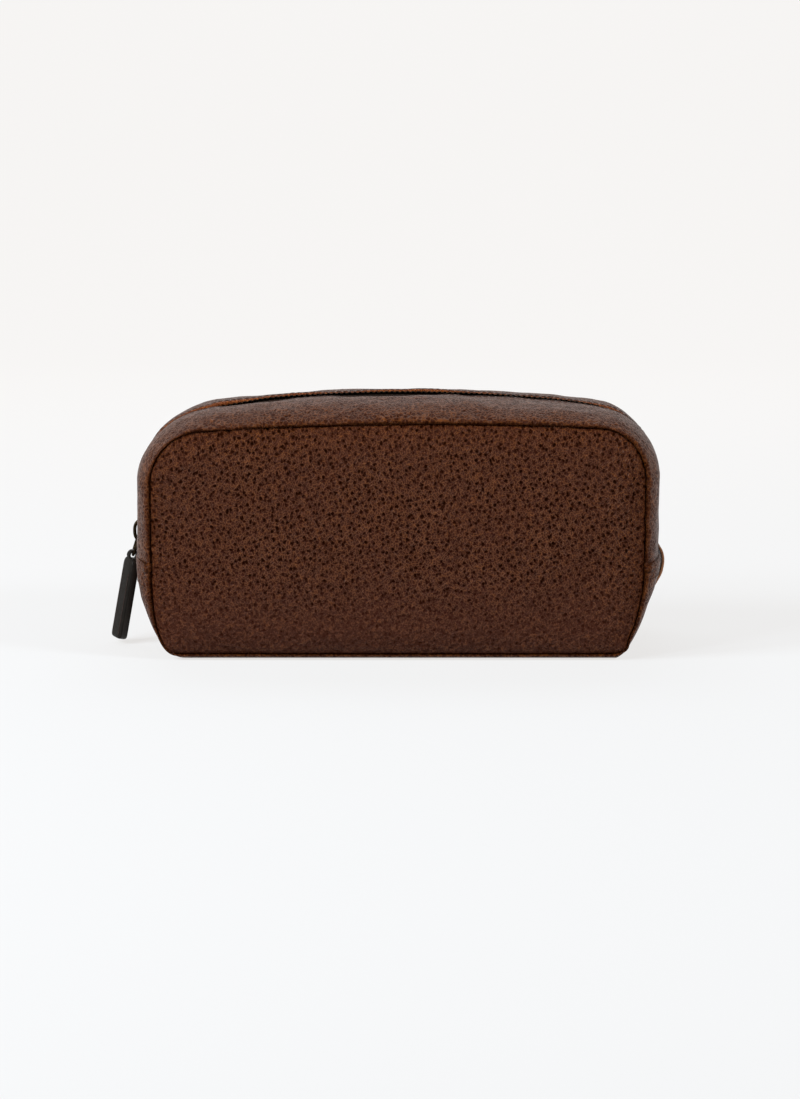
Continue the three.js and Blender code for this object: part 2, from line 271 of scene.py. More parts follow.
class Gusset:
    """The strip round the bag: where a point of it lies, by its row, its y and its depth."""

    def __init__(self, path, swelling):
        self.seam = path(SEAM)
        self.middle = path(MIDDLE)
        self.inward = [-n for n in normals(self.middle)] if path is upper else normals(self.middle)
        self.swelling = swelling

    def __len__(self):
        return len(self.middle)

    def at(self, row, y, depth=0.0, seed=1.0, soft=1.0):
        s, m = self.seam[row], self.middle[row]
        w = self.swelling(y, m[1])
        x, z = s[0] + (m[0] - s[0]) * w, s[1] + (m[1] - s[1]) * w
        rise = valley(y, z) + wrinkles(x, y, z, 0.7, 26, seed) + wrinkles(x, y, z, 0.35, 9, seed + 5)
        rise = (rise + puckers(x, y, z, seed)) * soft * smoothstep(4, 34, z) * smoothstep(0, 0.2, w)
        inward = self.inward[row]
        y += roll(w, z) if y > 0 else -roll(w, z)
        return Vector((x + inward.x * (depth - rise), y, z + inward.z * (depth - rise))) * MM


# -------- making meshes


def finished(name, bm, materials, body=None, replaces=(), smooth=True, thickness=0.0):
    """The bmesh as a named piece that rides on a body, apart from the front half's pieces, whose placing is
    only baked in, and stands for some nodes of the frame. A sheet gets its thickness behind the side that it
    shows, and the last material on its cut edges."""
    mesh = bpy.data.meshes.new(name)
    bm.to_mesh(mesh)
    bm.free()
    for material in materials:
        mesh.materials.append(finish(material))
    piece = bpy.data.objects.new(name, mesh)
    bpy.context.scene.collection.objects.link(piece)
    if thickness:
        wall = piece.modifiers.new("Thickness", "SOLIDIFY")
        wall.thickness = thickness
        wall.offset = -1
        wall.use_even_offset = False
        wall.material_offset_rim = len(materials) - 1
        solid = bpy.data.meshes.new_from_object(piece.evaluated_get(bpy.context.evaluated_depsgraph_get()))
        piece.modifiers.clear()
        piece.data = solid
        bpy.data.meshes.remove(mesh)
        solid.name = name
    piece.data.polygons.foreach_set("use_smooth", [smooth] * len(piece.data.polygons))
    if replaces:
        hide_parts(*replaces)
    if body == "front_half":
        opens_with_mouth(piece)
    elif body:
        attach(piece, body)
    return piece


def opens_with_mouth(piece):
    """The front half's pieces only get their placing baked into their meshes; they ride on no body."""
    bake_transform(piece)


def grid_sheet(rows, columns, place):
    """A grid whose vertex in row i and column j is carried to place(i, j)."""
    bm = bmesh.new()
    bmesh.ops.create_grid(bm, x_segments=rows - 1, y_segments=columns - 1, size=1)
    for v in bm.verts:
        i = round((v.co.x + 1) / 2 * (rows - 1))
        j = round((v.co.y + 1) / 2 * (columns - 1))
        v.co = place(i, j)
    return bm


def face_out(bm, outwards):
    """Turns a sheet's faces so that they look the way that outwards(middle of a face) says."""
    bm.normal_update()
    if sum(f.normal.dot(outwards(f.calc_center_median())) for f in bm.faces) < 0:
        bmesh.ops.reverse_faces(bm, faces=bm.faces[:])
    return bm


def out_of_bag(middle):
    return middle - Vector((0, 0, 55 * MM))


def facing(x, y):
    """The same outward direction for the whole of a sheet."""
    return lambda middle: Vector((x, y, 0))


def lined(name, bm, outwards, body, node):
    """A lining from a bmesh sheet."""
    finished(name, face_out(bm, outwards), ["cotton_lining"], body, (node,), thickness=CLOTH)


def from_node(node, name, bevel, materials, body):
    """A copy of a frame node with its facets merged and its edges rounded."""
    bm = bmesh.new()
    bm.from_mesh(frame["nodes"][node].data)
    bmesh.ops.remove_doubles(bm, verts=bm.verts[:], dist=1e-6)
    bmesh.ops.dissolve_limit(bm, angle_limit=radians(4), verts=bm.verts[:], edges=bm.edges[:])
    sharp = [e for e in bm.edges if e.calc_face_angle(0) > radians(30)]
    bmesh.ops.bevel(
        bm, geom=sharp, offset=bevel * MM, offset_type="OFFSET", segments=2, profile=0.5,
        affect="EDGES", material=-1, clamp_overlap=True,
    )
    return finished(name, bm, materials, body, (node,))


# -------- materials


class Look:
    """A material in the making: its main shader, and nodes that start from the object's own coordinates."""

    def __init__(self, name):
        self.material = bpy.data.materials.new(name)
        self.material.use_nodes = True
        self.shader = self.material.node_tree.nodes["Principled BSDF"]
        self.place = self.node("ShaderNodeTexCoord").outputs["Object"]

    def node(self, kind, *values, **settings):
        """Adds a node. Settings go to its fields or inputs by name, then values to its inputs in order. A
        socket among them is linked."""
        node = self.material.node_tree.nodes.new(kind)
        for key, value in settings.items():
            if hasattr(node, key):
                setattr(node, key, value)
            else:
                self.feed(node.inputs[key.replace("_", " ")], value)
        for target, value in zip(node.inputs, values):
            self.feed(target, value)
        return node

    def feed(self, target, value):
        if isinstance(value, bpy.types.NodeSocket):
            self.material.node_tree.links.new(value, target)
        else:
            target.default_value = value

    def shade(self, **settings):
        """Gives the main shader's inputs values or sockets, by name."""
        for key, value in settings.items():
            self.feed(self.shader.inputs[key.replace("_", " ")], value)

    def bump(self, height, distance, strength=1.0):
        """Relief by a height from 0 to 1 that stands for a distance in metres."""
        node = self.node("ShaderNodeBump", Height=height, Strength=strength, Distance=distance)
        self.shade(Normal=node.outputs["Normal"])

    def ramp(self, source, stops):
        """A colour ramp with (position, colour) stops."""
        node = self.node("ShaderNodeValToRGB", source)
        elements = node.color_ramp.elements
        while len(elements) < len(stops):
            elements.new(0.5)
        for element, (position, code) in zip(elements, stops):
            element.position = position
            element.color = (*code, 1)
        return node.outputs["Color"]

    def share(self, source, low, high, to_low=0.0, to_high=1.0):
        """Maps a value from one range to another, smoothly."""
        return self.node(
            "ShaderNodeMapRange", source, low, high, to_low, to_high, interpolation_type="SMOOTHSTEP"
        ).outputs["Result"]

    def maths(self, operation, a, b, c=0.0):
        return self.node("ShaderNodeMath", a, b, c, operation=operation).outputs[0]


def grained_leather(name, grain, relief, pores, roughness, lift=1.0, gloss=0.16, turn=(0, 0, 0), flat="3D"):
    """Cowhide that was drum-dyed, tumbled and waxed: dark pores in a net of fine, warm ridges. The pores'
    darkness is their pits' shade, painted into the colour; the ridges are lighter where the finish has
    rubbed thin, and carry painted highlights as well. Grain is the distance between pores and relief the
    height of the ridges, in metres. Pores is how much painted shade darkens a pore, lift lightens the
    colours and gloss is the shine of a ridge. A 2D hide has its pattern turned into the plane of its sheet,
    and was pressed smoother towards its foot."""
    look = Look(name)
    palette = [[min(1, c * lift) for c in getattr(colours(), k)] for k in ("pore", "leather", "ridge")]
    # The pattern lies in the plane that it is seen in, and the hide was stretched askew there.
    askew = look.node(
        "ShaderNodeMapping", look.place, Rotation=turn, Scale=(1.12, 0.88, 1)
    ).outputs["Vector"]
    drift = look.node("ShaderNodeTexNoise", askew, Scale=0.8 / grain, Detail=3.0).outputs["Color"]
    bent = look.node(
        "ShaderNodeVectorMath", drift, (0.7 * grain,) * 3, askew, operation="MULTIPLY_ADD"
    ).outputs["Vector"]
    cells = look.node(
        "ShaderNodeTexVoronoi", bent, voronoi_dimensions=flat, feature="F1", Scale=1 / grain, Randomness=0.8
    )
    net = look.node(
        "ShaderNodeTexVoronoi", bent, voronoi_dimensions=flat, feature="DISTANCE_TO_EDGE", Scale=2.3 / grain
    )
    fine = look.node(
        "ShaderNodeTexNoise", askew, Scale=1.9 / grain, Detail=5.0, Roughness=0.66, Distortion=1.0
    )
    broad = look.node("ShaderNodeTexNoise", look.place, Scale=26.0, Detail=4.0)
    patch = look.share(broad.outputs["Fac"], 0.3, 0.64, 0.7, 1.0)
    if flat == "2D":
        height = look.node("ShaderNodeSeparateXYZ", look.place).outputs["Z"]
        patch = look.maths("MULTIPLY", patch, look.share(height, 0.006, 0.056, 0.3, 1.0))
    depth = look.share(cells.outputs["Color"], 0.2, 0.8, 0.62, 1.0)
    pore = look.maths("MULTIPLY", look.share(cells.outputs["Distance"], 0.06, 0.36, 1.0, 0.0), depth)
    pore = look.maths("MULTIPLY", pore, patch)
    ridge = look.maths("MULTIPLY", look.share(net.outputs["Distance"], 0.0, 0.2, 1.0, 0.0), patch)
    fibre = look.share(fine.outputs["Fac"], 0.3, 0.7, -1.0, 1.0)
    tone = look.maths("MULTIPLY_ADD", fibre, 0.14, 0.43)
    # Ridges are lightened partly for the rubbed finish and partly with a painted highlight.
    tone = look.maths("MULTIPLY_ADD", ridge, 0.26, tone)
    # Pores are darkened with painted shade, standing in for the shade in their pits.
    tone = look.maths("MULTIPLY_ADD", pore, -pores, tone)
    level = look.maths("SUBTRACT", look.maths("MULTIPLY", ridge, 0.5), pore)
    look.bump(look.maths("MULTIPLY_ADD", fibre, 0.16, level), relief)
    look.shade(
        Base_Color=look.ramp(tone, [(0.05, palette[0]), (0.45, palette[1]), (0.78, palette[2])]),
        Roughness=look.share(tone, 0.2, 0.7, roughness + 0.12, roughness - 0.04),
        # A pore is a shadowed pit, so only the polished ridges shine.
        Specular_IOR_Level=look.share(tone, 0.12, 0.66, 0.0, gloss),
    )
    return look.material


def plain_finish(name, base, dark, scale, roughness, metallic=0.0, relief=0.00004, gloss=0.5):
    """A finish with a soft mottle of two colours, and a little relief to match it. Scale is in metres."""
    look = Look(name)
    mottle = look.node(
        "ShaderNodeTexNoise", look.place, Scale=1 / scale, Detail=6.0, Roughness=0.65
    ).outputs["Fac"]
    look.bump(mottle, relief, 0.6)
    look.shade(
        Base_Color=look.ramp(mottle, [(0.35, dark), (0.65, base)]), Metallic=metallic,
        Roughness=look.share(mottle, 0.3, 0.7, roughness + 0.12, roughness - 0.08), Specular_IOR_Level=gloss,
    )
    if metallic:  # a patina dulls light that grazes the metal as well
        look.shade(Specular_Tint=(0.3, 0.25, 0.19, 1))
    return look.material


def woven(name, base, thread):
    """Plain-woven cloth: two sets of threads whose crests alternate. Thread is their spacing in metres."""
    look = Look(name)
    threads = [
        look.node(
            "ShaderNodeTexWave", look.place, wave_type="BANDS", bands_direction=axis, Scale=0.314 / thread,
            Distortion=0.6, Detail_Scale=4.0,
        ).outputs["Fac"]
        for axis in ("X", "Y", "Z")
    ]
    weave = look.maths("MULTIPLY", look.maths("ADD", threads[0], threads[1]), threads[2])
    look.bump(weave, thread * 0.4, 0.5)
    shadow = [c * 0.45 for c in base]
    look.shade(Base_Color=look.ramp(weave, [(0.1, shadow), (1.1, base)]), Roughness=0.85,
               Specular_IOR_Level=0.08)
    return look.material


def glowing_paper(name):
    """Seamless white paper, lit from behind until it all but glows, so that only close shadows are left. Its
    front part gets more of the lamps' light, and so it glows less."""
    look = Look(name)
    back = look.node("ShaderNodeSeparateXYZ", look.place).outputs["Y"]
    look.shade(
        Base_Color=(0.10, 0.113, 0.125, 1), Roughness=0.9, Specular_IOR_Level=0.0,
        Emission_Color=(1, 0.974, 0.951, 1), Emission_Strength=look.share(back, -0.4, 1.6, 0.715, 0.86),
    )
    return look.material


def recipes():
    """How each material is made, by its name: the function and what it is given."""
    colour, grain = colours(), sizes().grain
    return {
        # Tumbled full-grain hide: coarse pebbles and clear pores, as on the bag's two big panels.
        "pebbled_cowhide": (grained_leather, dict(
            grain=grain, relief=0.0012, pores=0.5, roughness=0.42, turn=(pi / 2, 0, radians(28)),
            flat="2D")),
        # The same hide stretched round the gusset: its pores are closed and its wax has cracked into a net.
        "smooth_cowhide": (grained_leather, dict(
            grain=grain * 1.4, relief=0.0006, pores=0.1, roughness=0.36, lift=0.66, gloss=0.08)),
        # The same hide on the folds beside the zip, lighter and a warmer brown: a painted highlight for the
        # light that the folds catch.
        "rubbed_cowhide": (grained_leather, dict(
            grain=grain * 0.6, relief=0.0004, pores=0.2, roughness=0.42, lift=1.7, gloss=0.08)),
        # The hide's cut edge, unpainted: pale tan fibres.
        "raw_hide_edge": (plain_finish, dict(
            base=colour.edge, dark=linear(0x4A2A16), scale=0.0009, roughness=0.8)),
        # Black bridle leather: waxed, close-grained and a little rubbed.
        "black_bridle_leather": (plain_finish, dict(
            base=colour.pull, dark=linear(0x16120E), scale=0.0016, roughness=0.5, relief=0.00016,
            gloss=0.07)),
        # The cut edge of the pull, burnished: a brownish black.
        "burnished_edge": (plain_finish, dict(
            base=linear(0x211B16), dark=linear(0x0C0A08), scale=0.0007, roughness=0.42, gloss=0.3)),
        # Aged brass: dark brown patina with warm metal where it rubs.
        "patinated_brass": (plain_finish, dict(
            base=colour.metal, dark=linear(0x120D08), scale=0.0022, roughness=0.45, metallic=0.85,
            relief=0.00003, gloss=0.2)),
        # Brass teeth with a dark plating: small bright glints off a nearly black metal.
        "dark_plated_brass": (plain_finish, dict(
            base=colour.teeth, dark=linear(0x080706), scale=0.0015, roughness=0.42, metallic=1.0,
            relief=0.00001)),
        # Woven polyester tape, 0.7 mm between ribs.
        "zip_tape_polyester": (woven, dict(base=tuple(colour.tape), thread=0.0007)),
        # Cotton twill lining, drawn at 1.1 mm between threads because the real 0.5 mm is too fine to show.
        "cotton_lining": (woven, dict(base=tuple(colour.lining), thread=0.0011)),
        # Bonded foam interlining: open, pale and dull.
        "foam_interlining": (plain_finish, dict(
            base=linear(0xC9C2B4), dark=linear(0xA9A192), scale=0.0012, roughness=0.95, relief=0.0001)),
        # Bonded nylon thread: twisted, with a slight lustre.
        "nylon_thread": (plain_finish, dict(
            base=colour.thread, dark=linear(0x190C07), scale=0.0006, roughness=0.6, gloss=0.3)),
        # The studio's background paper.
        "seamless_paper": (glowing_paper, {}),
    }


def finish(name):
    """The named material, made the first time that it is asked for."""
    material = bpy.data.materials.get(name)
    if material is None:
        make, settings = recipes()[name]
        material = make(name, **settings)
    return material


# -------- panels


def edge_spread(count):
    """Positions from -1 to 1 that crowd towards both ends, for a mesh that rounds over at its rim."""
    spread = [2 * i / (count - 1) - 1 for i in range(count)]
    return [0.6 * t + 0.4 * sin(pi / 2 * t) for t in spread]


def seam_edges():
    """The edges of a panel's outline, before it is bowed, as pairs of (x, z) points."""
    closed = lower(SEAM) + upper(SEAM, False)[::-1]
    return list(zip(closed, closed[1:] + closed[:1]))


def panel_rows(count):
    """(height, left x, right x) of rows of a panel, crowded towards its top and bottom."""
    edges = seam_edges()
    low, high = SEAM["floor"], SEAM["top"]
    rows = []
    for share_up in edge_spread(count):
        z = low + (high - low) * (share_up + 1) / 2
        z = min(max(z, low + 1e-4), high - 1e-4)
        crossings = []
        for a, b in edges:
            if (a[1] - z) * (b[1] - z) < 0:
                crossings.append(a[0] + (b[0] - a[0]) * (z - a[1]) / (b[1] - a[1]))
        rows.append((z, min(crossings), max(crossings)))
    return rows


def outline_tree():
    """A search tree of points close together on the seams' outline."""
    dense = []
    for a, b in seam_edges():
        steps = max(1, int(Vector((b[0] - a[0], b[1] - a[1])).length / 0.4))
        dense += [(a[0] + (b[0] - a[0]) * k / steps, a[1] + (b[1] - a[1]) * k / steps) for k in range(steps)]
    tree = KDTree(len(dense))
    for k, (x, z) in enumerate(dense):
        tree.insert((x, 0, z), k)
    tree.balance()
    return tree


def scars(x, z, seed):
    """Long, shallow creases that run down and to the right across a panel, most of them past its middle."""
    total = 0.0
    for k in range(9):
        middle = (-34 + 13 * k + 7 * sin(3.1 * k + seed), 70 + 15 * cos(2.3 * k + seed))
        slant = radians(-58 + 9 * sin(1.7 * k))
        dx, dz = x - middle[0], z - middle[1]
        along = dx * cos(slant) + dz * sin(slant)
        across = -dx * sin(slant) + dz * cos(slant) + 2.2 * noise.noise(Vector((along * 0.08, k, seed)))
        total -= 0.75 * max(0.0, 1 - (along / 27) ** 2) * exp(-((across / 1.5) ** 2))
    return total


def tumbled(x, z, seed):
    """The relief of a tumbled hide: pebbles and folds a few millimetres wide, flatter at the foot."""
    across, along = x * 0.88 + z * 0.47, z * 0.88 - x * 0.47
    pebble = abs(noise.noise(Vector((across / 2.3, along / 3.0, seed))))
    fold = abs(noise.noise(Vector((across / 4.6, along / 9.0, seed + 4))))
    return (0.5 * pebble + 0.5 * fold) * (0.25 + 0.75 * smoothstep(8, 58, z))


def panel_sheet(side, inset, depth, seed, tree, rows=140, columns=300, soft=1.0):
    """The outside of a panel as a grid, drawn in by inset from its seam, at a depth behind its surface. The
    tree holds points of the seam, and soft fades the wrinkles of the layers behind the leather."""
    r = sizes().rim / MM
    crown = sizes().crown / MM
    heights = panel_rows(rows)
    across = edge_spread(columns)
    z_middle = (SEAM["floor"] + SEAM["top"]) / 2
    shrink_z = 1 - inset / (z_middle - SEAM["floor"])

    def place(i, j):
        z, left, right = heights[i]
        x = (left + right) / 2 + across[j] * (right - left) / 2
        x *= 1 - inset / SEAM["half"]
        z = z_middle + (z - z_middle) * shrink_z
        s = tree.find((x, 0, z))[2] if inset == 0 else inset
        rim = sqrt(max(0.0, r * r - (r - min(s, r)) ** 2)) + 2.8 * (1 - (1 - min(s, 15) / 15) ** 2)
        u, v = x / SEAM["half"], (z - z_middle) / (z_middle - SEAM["floor"])
        swelling = crown * (1 - abs(u) ** 2.8) * (1 - abs(v + 0.06) ** 2.5 if abs(v + 0.06) < 1 else 0)
        soften = smoothstep(1, 16, s) * soft
        swelling += soften * (wrinkles(x, 0, z, 1.1, 38, seed) + wrinkles(x, 0, z, 0.35, 12, seed + 3))
        swelling += soften * scars(x, z, seed)
        if soft == 1.0:
            swelling += tumbled(x, z, seed) * smoothstep(1, 6, s)
        swelling += soft * 0.5 * smoothstep(14, 2, s) * noise.noise(Vector((x * 0.14, z * 0.14, seed)))
        return Vector((x, side * (HALF_DEPTH + 0.1 + rim + swelling - depth), bowed(SEAM, x, z))) * MM

    return grid_sheet(rows, columns, place)


def tuck_in(bm):
    """Turns a panel's edge back into the bag, as its seam allowance."""
    middle = Vector((0, 0, (SEAM["floor"] + SEAM["top"]) / 2 * MM))
    for inwards in (1.2, 2.6):
        rim = [e for e in bm.edges if e.is_boundary]
        made = bmesh.ops.extrude_edge_only(bm, edges=rim)["geom"]
        for v in (g for g in made if isinstance(g, bmesh.types.BMVert)):
            towards = middle - Vector((v.co.x, 0, v.co.z))
            v.co += Vector((towards.x / SEAM["half"], 0, towards.z / HALF_HEIGHT)) * inwards


class BAG_OT_panels(Operator):
    """Front and back panels: domed leather with a turned rim that goes down into the seam"""

    bl_idname = "bag.panels"
    bl_label = "Panels"

    def execute(self, context):
        tree = outline_tree()
        for side, end, body in SIDES:
            outwards = facing(0, side)
            bm = panel_sheet(side, 0, 0, 4.0 + side, tree)
            tuck_in(bm)
            finished(f"{end}_panel_leather", face_out(bm, outwards), ["pebbled_cowhide"], body,
                     (f"{end}_panel",), thickness=sizes().leather)
            bm = panel_sheet(side, 4.6, 5.2, 4.0 + side, tree, 40, 80, 0.6)
            pad = finished(f"{end}_panel_foam", face_out(bm, outwards), ["foam_interlining"], body,
                           (f"{end}_padding",), thickness=1.9 * MM)
            bm = panel_sheet(side, 4.2, 7.6, 4.0 + side, tree, 48, 96, 0.6)
            lined(f"{end}_panel_lining", bm, outwards, body, f"{end}_lining")
        return {"FINISHED"}


# -------- gusset


def strip_profile(fold_steps=7, columns=34):
    """(distance from the zip, depth) across a zip strip: seam allowance, outside, fold, turned edge."""
    profile = [(HALF_DEPTH, 4.5), (HALF_DEPTH, 3.0), (HALF_DEPTH, 1.6), (HALF_DEPTH, 0.7)]
    last = acos((ZIP_EDGE / HALF_DEPTH) ** 1.15)
    for k in range(columns + 1):
        profile.append((HALF_DEPTH * cos(last * k / columns) ** (1 / 1.15), 0.0))
    for k in range(1, fold_steps + 1):
        a = pi * k / fold_steps
        profile.append((ZIP_EDGE - FOLD * sin(a), FOLD * (1 - cos(a))))
    return profile + [(ZIP_EDGE + 2, 2 * FOLD), (ZIP_EDGE + 5, 2 * FOLD)]


def zip_dip(x, side):
    """How far the leather's edge beside the zip dips: the front one sags in two places, where the teeth
    show, and rises in one. The back one stands up behind them."""
    waves = ((-0.9, 0, 98),) if side > 0 else ((1.9, -69, 19), (1.9, -5, 26), (-0.5, 62, 30))
    return sum(deep * max(0.0, 1 - ((x - at) / half) ** 2) for deep, at, half in waves)


class BAG_OT_zip_strips(Operator):
    """The two leather strips beside the zip, with a folded edge, and the lining under each"""

    bl_idname = "bag.zip_strips"
    bl_label = "Zip strips"

    def execute(self, context):
        gusset = Gusset(upper, swell)
        profile = strip_profile()
        for side, end, body in SIDES:

            def outside(i, j):
                y, depth = profile[j]
                near = 1 - smoothstep(7, 17, y)
                return gusset.at(i, side * y, depth + near * zip_dip(gusset.middle[i][0], side), 2.0 + side)

            bm = grid_sheet(len(gusset), len(profile), outside)
            for face in bm.faces:
                # The folds beside the zip take the lighter copy of the hide, with their highlight painted
                # in.
                if abs(face.calc_center_median().y) < (ZIP_EDGE + 0.5) * MM:
                    face.material_index = 1
            finished(f"{end}_zip_strip_leather", face_out(bm, out_of_bag),
                     ["smooth_cowhide", "rubbed_cowhide"], body,
                     (f"zip_strip_{end}",), thickness=sizes().leather * 0.9)
            ys = [43 - (43 - ZIP_EDGE - 1) * k / 16 for k in range(17)]
            seed = 2.0 + side
            bm = grid_sheet(len(gusset), len(ys), lambda i, j: gusset.at(i, side * ys[j], 4.0, seed, 0.5))
            lined(f"{end}_zip_strip_lining", bm, out_of_bag, body, f"zip_lining_{end}")
        return {"FINISHED"}


class BAG_OT_base(Operator):
    """The base strip, which laps over the zip strips at a folded hem on each side, and its lining"""

    bl_idname = "bag.base"
    bl_label = "Base strip"

    def execute(self, context):
        gusset = Gusset(lower, base_swell)
        half = [HALF_DEPTH * cos(pi / 2 * k / 34) ** (1 / 1.15) for k in range(34)]
        ys = [*(-y for y in half), 0.0, *half[::-1]]
        profile = [(-HALF_DEPTH, 4.5), (-HALF_DEPTH, 2.5), (-HALF_DEPTH, 0.8), *((y, 0.0) for y in ys)]
        profile += [(HALF_DEPTH, 0.8), (HALF_DEPTH, 2.5), (HALF_DEPTH, 4.5)]
        count = len(gusset)
        hem_rows = 5

        def outside(i, j):
            """The strip, with extra rows at each end that fold the hem under."""
            y, depth = profile[j]
            row = min(max(i - hem_rows, 0), count - 1)
            past = max(hem_rows - i, i - hem_rows - count + 1, 0)
            lift = HEM_LIFT * (1 - smoothstep(0, 16, min(row, count - 1 - row)))
            free = max(0.08, smoothstep(46, 40, abs(y)))
            point = gusset.at(row, y, depth - lift * free, 3.0)
            fold = pi * min(past, 4) / 4
            turned = Vector((gusset.inward[row].x * (1 - cos(fold)), 0, sin(fold)))
            point += turned * (HEM_FOLD * free * MM)
            if past > 4:
                point.z -= 3.5 * MM
            return point

        bm = grid_sheet(count + 2 * hem_rows, len(profile), outside)
        finished("base_strip_leather", face_out(bm, out_of_bag), ["smooth_cowhide"], "bag",
                 ("base_strip",), thickness=sizes().leather * 0.7)
        inner = [43 * (2 * k / 40 - 1) for k in range(41)]
        bm = grid_sheet(count, 41, lambda i, j: gusset.at(i, inner[j], 3.6, 3.0, 0.5))
        lined("base_strip_lining", bm, out_of_bag, "bag", "base_lining")
        return {"FINISHED"}


# -------- zip


def chain_line():
    """Points along the middle of the zip's chain with their inward directions, from the left hem on."""
    gusset = Gusset(upper, swell)
    count = len(gusset)
    line = []
    for i in range(count):
        share_along = i / (count - 1)
        on_top = smoothstep(0.24, 0.34, share_along) * (1 - smoothstep(0.72, 0.82, share_along))
        depth = CHAIN_DEPTH - 1.9 * on_top
        m, n = gusset.middle[i], gusset.inward[i]
        line.append((Vector((m[0], 0, m[1])) + n * depth, n))
    return line


def walk(line, pitch, start, end):
    """Places at equal steps along a line of (point, inward) pairs, as (point, along, inward)."""
    places, travelled, target = [], 0.0, start
    total = sum((b[0] - a[0]).length for a, b in zip(line, line[1:]))
    for (a, inward), (b, _) in zip(line, line[1:]):
        step = (b - a).length
        while travelled + step >= target and target <= total - end:
            share_along = (target - travelled) / step
            places.append((a.lerp(b, share_along), (b - a).normalized(), inward))
            target += pitch
        travelled += step
    return places


def tooth_shape(side):
    """One tooth as a mesh, in millimetres: a jaw that clamps the tape, a neck and a head that hooks in. X
    runs along the zip, Y across it and Z outwards."""
    bm = bmesh.new()
    bmesh.ops.create_cube(bm, size=1)
    for share_across in (-1 / 6, 1 / 6):
        parts = bm.verts[:] + bm.edges[:] + bm.faces[:]
        bmesh.ops.bisect_plane(bm, geom=parts, plane_co=(0, share_across, 0), plane_no=(0, 1, 0))
    # The width and height of its sections, from the jaw to the head.
    sections = ((1.5, 2.3), (1.2, 2.4), (1.6, 2.2), (1.3, 1.5))
    for v in bm.verts:
        width, height = sections[round((v.co.y + 0.5) * 3)]
        v.co = Vector((v.co.x * width, side * (3.0 - 3.9 * (v.co.y + 0.5)), v.co.z * height))
    bmesh.ops.recalc_face_normals(bm, faces=bm.faces[:])
    mesh = bpy.data.meshes.new("tooth")
    bm.to_mesh(mesh)
    bm.free()
    return mesh


def add_tooth(bm, shape, place, offset):
    """Adds a tooth at a place on the zip's line."""
    point, along, inward = place
    turn = Matrix((along, inward.cross(along), -inward)).transposed()
    if turn.col[1].y < 0:
        turn = Matrix((-along, Vector((0, 1, 0)), -inward)).transposed()
    start = len(bm.verts)
    bm.from_mesh(shape)
    bm.verts.ensure_lookup_table()
    for v in bm.verts[start:]:
        v.co = (turn @ v.co + point + along * offset) * MM


def slider_height():
    low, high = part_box("slider_body")
    return (low.z + high.z) / 2


class BAG_OT_zip(Operator):
    """The zip: two woven tapes, two rows of metal teeth in mesh, and their stops"""

    bl_idname = "bag.zip"
    bl_label = "Zip"

    def execute(self, context):
        line = chain_line()
        gusset = Gusset(upper, swell)
        ys = [1.9, 2.4, 3.4, 4.2, 5.0, 5.8, 7, 10, 14, 18]
        pitch = sizes().tooth_pitch / MM
        clear = slider_height() / MM - HEM - 1.6  # the teeth start inside the slider
        for side, end, body in SIDES:

            def place(i, j):
                y = ys[j]
                low = (line[i][0] - Vector((gusset.middle[i][0], 0, gusset.middle[i][1]))).length
                depth = low + (3.15 - low) * smoothstep(3.6, 6.0, y)
                return gusset.at(i, side * y, depth, 2.0 + side, smoothstep(4, 9, y) * 0.8)

            bm = grid_sheet(len(line), len(ys), place)
            finished(f"{end}_zip_tape", face_out(bm, out_of_bag), ["zip_tape_polyester"], body,
                     (f"zip_tape_{end}",), thickness=CLOTH)
            bm = bmesh.new()
            shape = tooth_shape(side)
            for spot in walk(line, pitch, clear, 6.0):
                add_tooth(bm, shape, spot, pitch / 2 if side > 0 else 0.0)
            bpy.data.meshes.remove(shape)
            bmesh.ops.recalc_face_normals(bm, faces=bm.faces[:])
            finished(f"{end}_zip_teeth", bm, ["dark_plated_brass"], body,
                     (f"zip_teeth_{end}",), smooth=False)
            from_node(f"top_stop_{end}", f"{end}_top_stop", 0.25, ["patinated_brass"], body)
        from_node("bottom_stop", "zip_bottom_stop", 0.35, ["patinated_brass"], "bag")
        return {"FINISHED"}


# -------- slider and pull


def sweep(bm, frames, section, closed=False):
    """Sweeps a closed section of (a, b) points along frames of (origin, a's axis, b's axis), in millimetres.
    An open sweep has capped ends."""
    rings = [[bm.verts.new((o + a * p + b * q) * MM) for p, q in section] for o, a, b in frames]
    pairs = list(zip(rings, rings[1:] + rings[:1] if closed else rings[1:]))
    for ring, following in pairs:
        for k in range(len(section)):
            j = (k + 1) % len(section)
            bm.faces.new((ring[k], ring[j], following[j], following[k]))
    if not closed:
        bm.faces.new(rings[0][::-1])
        bm.faces.new(rings[-1])
    bmesh.ops.recalc_face_normals(bm, faces=bm.faces[:])


def rounded(power, count=24):
    """The section of a bar as a superellipse of half size 1: round at power 2, and squarer above it."""
    points = []
    for k in range(count):
        a = 2 * pi * (k + 0.5) / count
        points.append(tuple(copysign(abs(c) ** (2 / power), c) for c in (cos(a), sin(a))))
    return points


def bar(bm, stations, power, z, count=24):
    """A bar along X with stations of (x, half width, half height) at a height."""
    frames = [(Vector((x, 0, z)), Vector((0, w, 0)), Vector((0, 0, h))) for x, w, h in stations]
    sweep(bm, frames, rounded(power, count))


